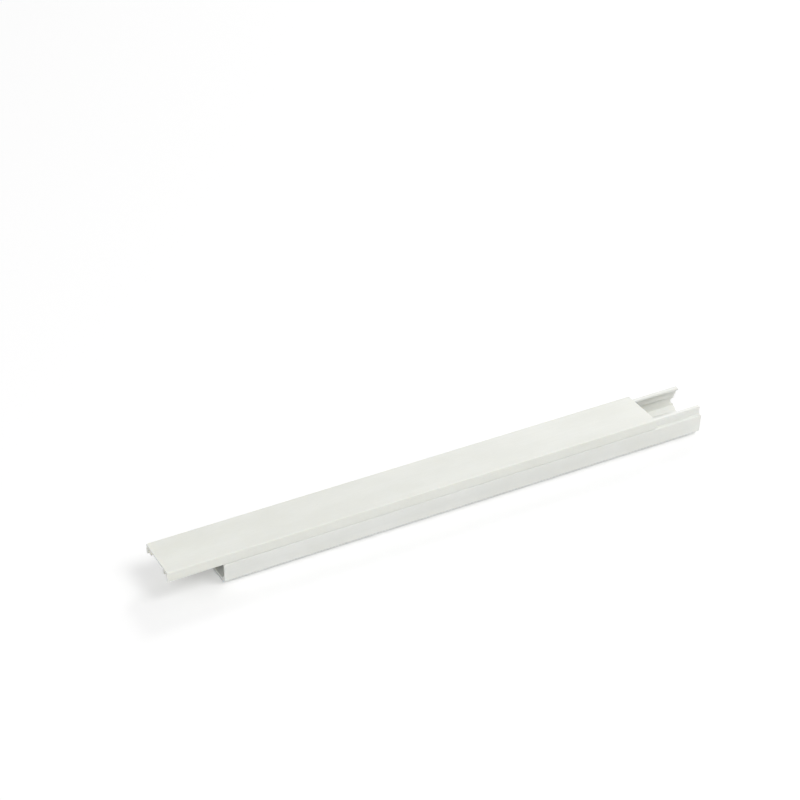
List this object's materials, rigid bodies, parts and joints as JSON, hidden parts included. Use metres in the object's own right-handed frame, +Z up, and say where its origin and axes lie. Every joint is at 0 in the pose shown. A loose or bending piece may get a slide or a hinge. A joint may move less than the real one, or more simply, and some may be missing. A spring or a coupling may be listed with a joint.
{
  "type": "cord cover raceway",
  "caption": "White plastic cord raceway: a lipped channel with an adhesive foam back and a snap-in cover that slides along it and stands out past one end.",
  "frame": {"origin": "centre of the adhesive back, on the outer face of its release film, which is what the raceway lies on", "axes": "+X along the raceway, away from the end that the cover stands out past; +Y across it; +Z up, from the adhesive back towards the cover"},
  "size_m": [0.293, 0.025, 0.017],
  "materials": {
    "base_pvc": "satin rigid PVC, warm white",
    "cover_pvc": "satin rigid PVC, warm white",
    "foam_tape": "matt closed-cell foam",
    "release_liner": "smooth blue film"
  },
  "bodies": {
    "base": {"base_channel": "base_pvc", "foam_tape": "foam_tape", "release_liner": "release_liner"},
    "cover": {"snap_cover": "cover_pvc"}
  },
  "joints": [
    {"name": "cover_slide", "type": "slide", "parent": "base", "child": "cover", "axis": [1, 0, 0], "range_m": [-0.24, 0.296]}
  ]
}
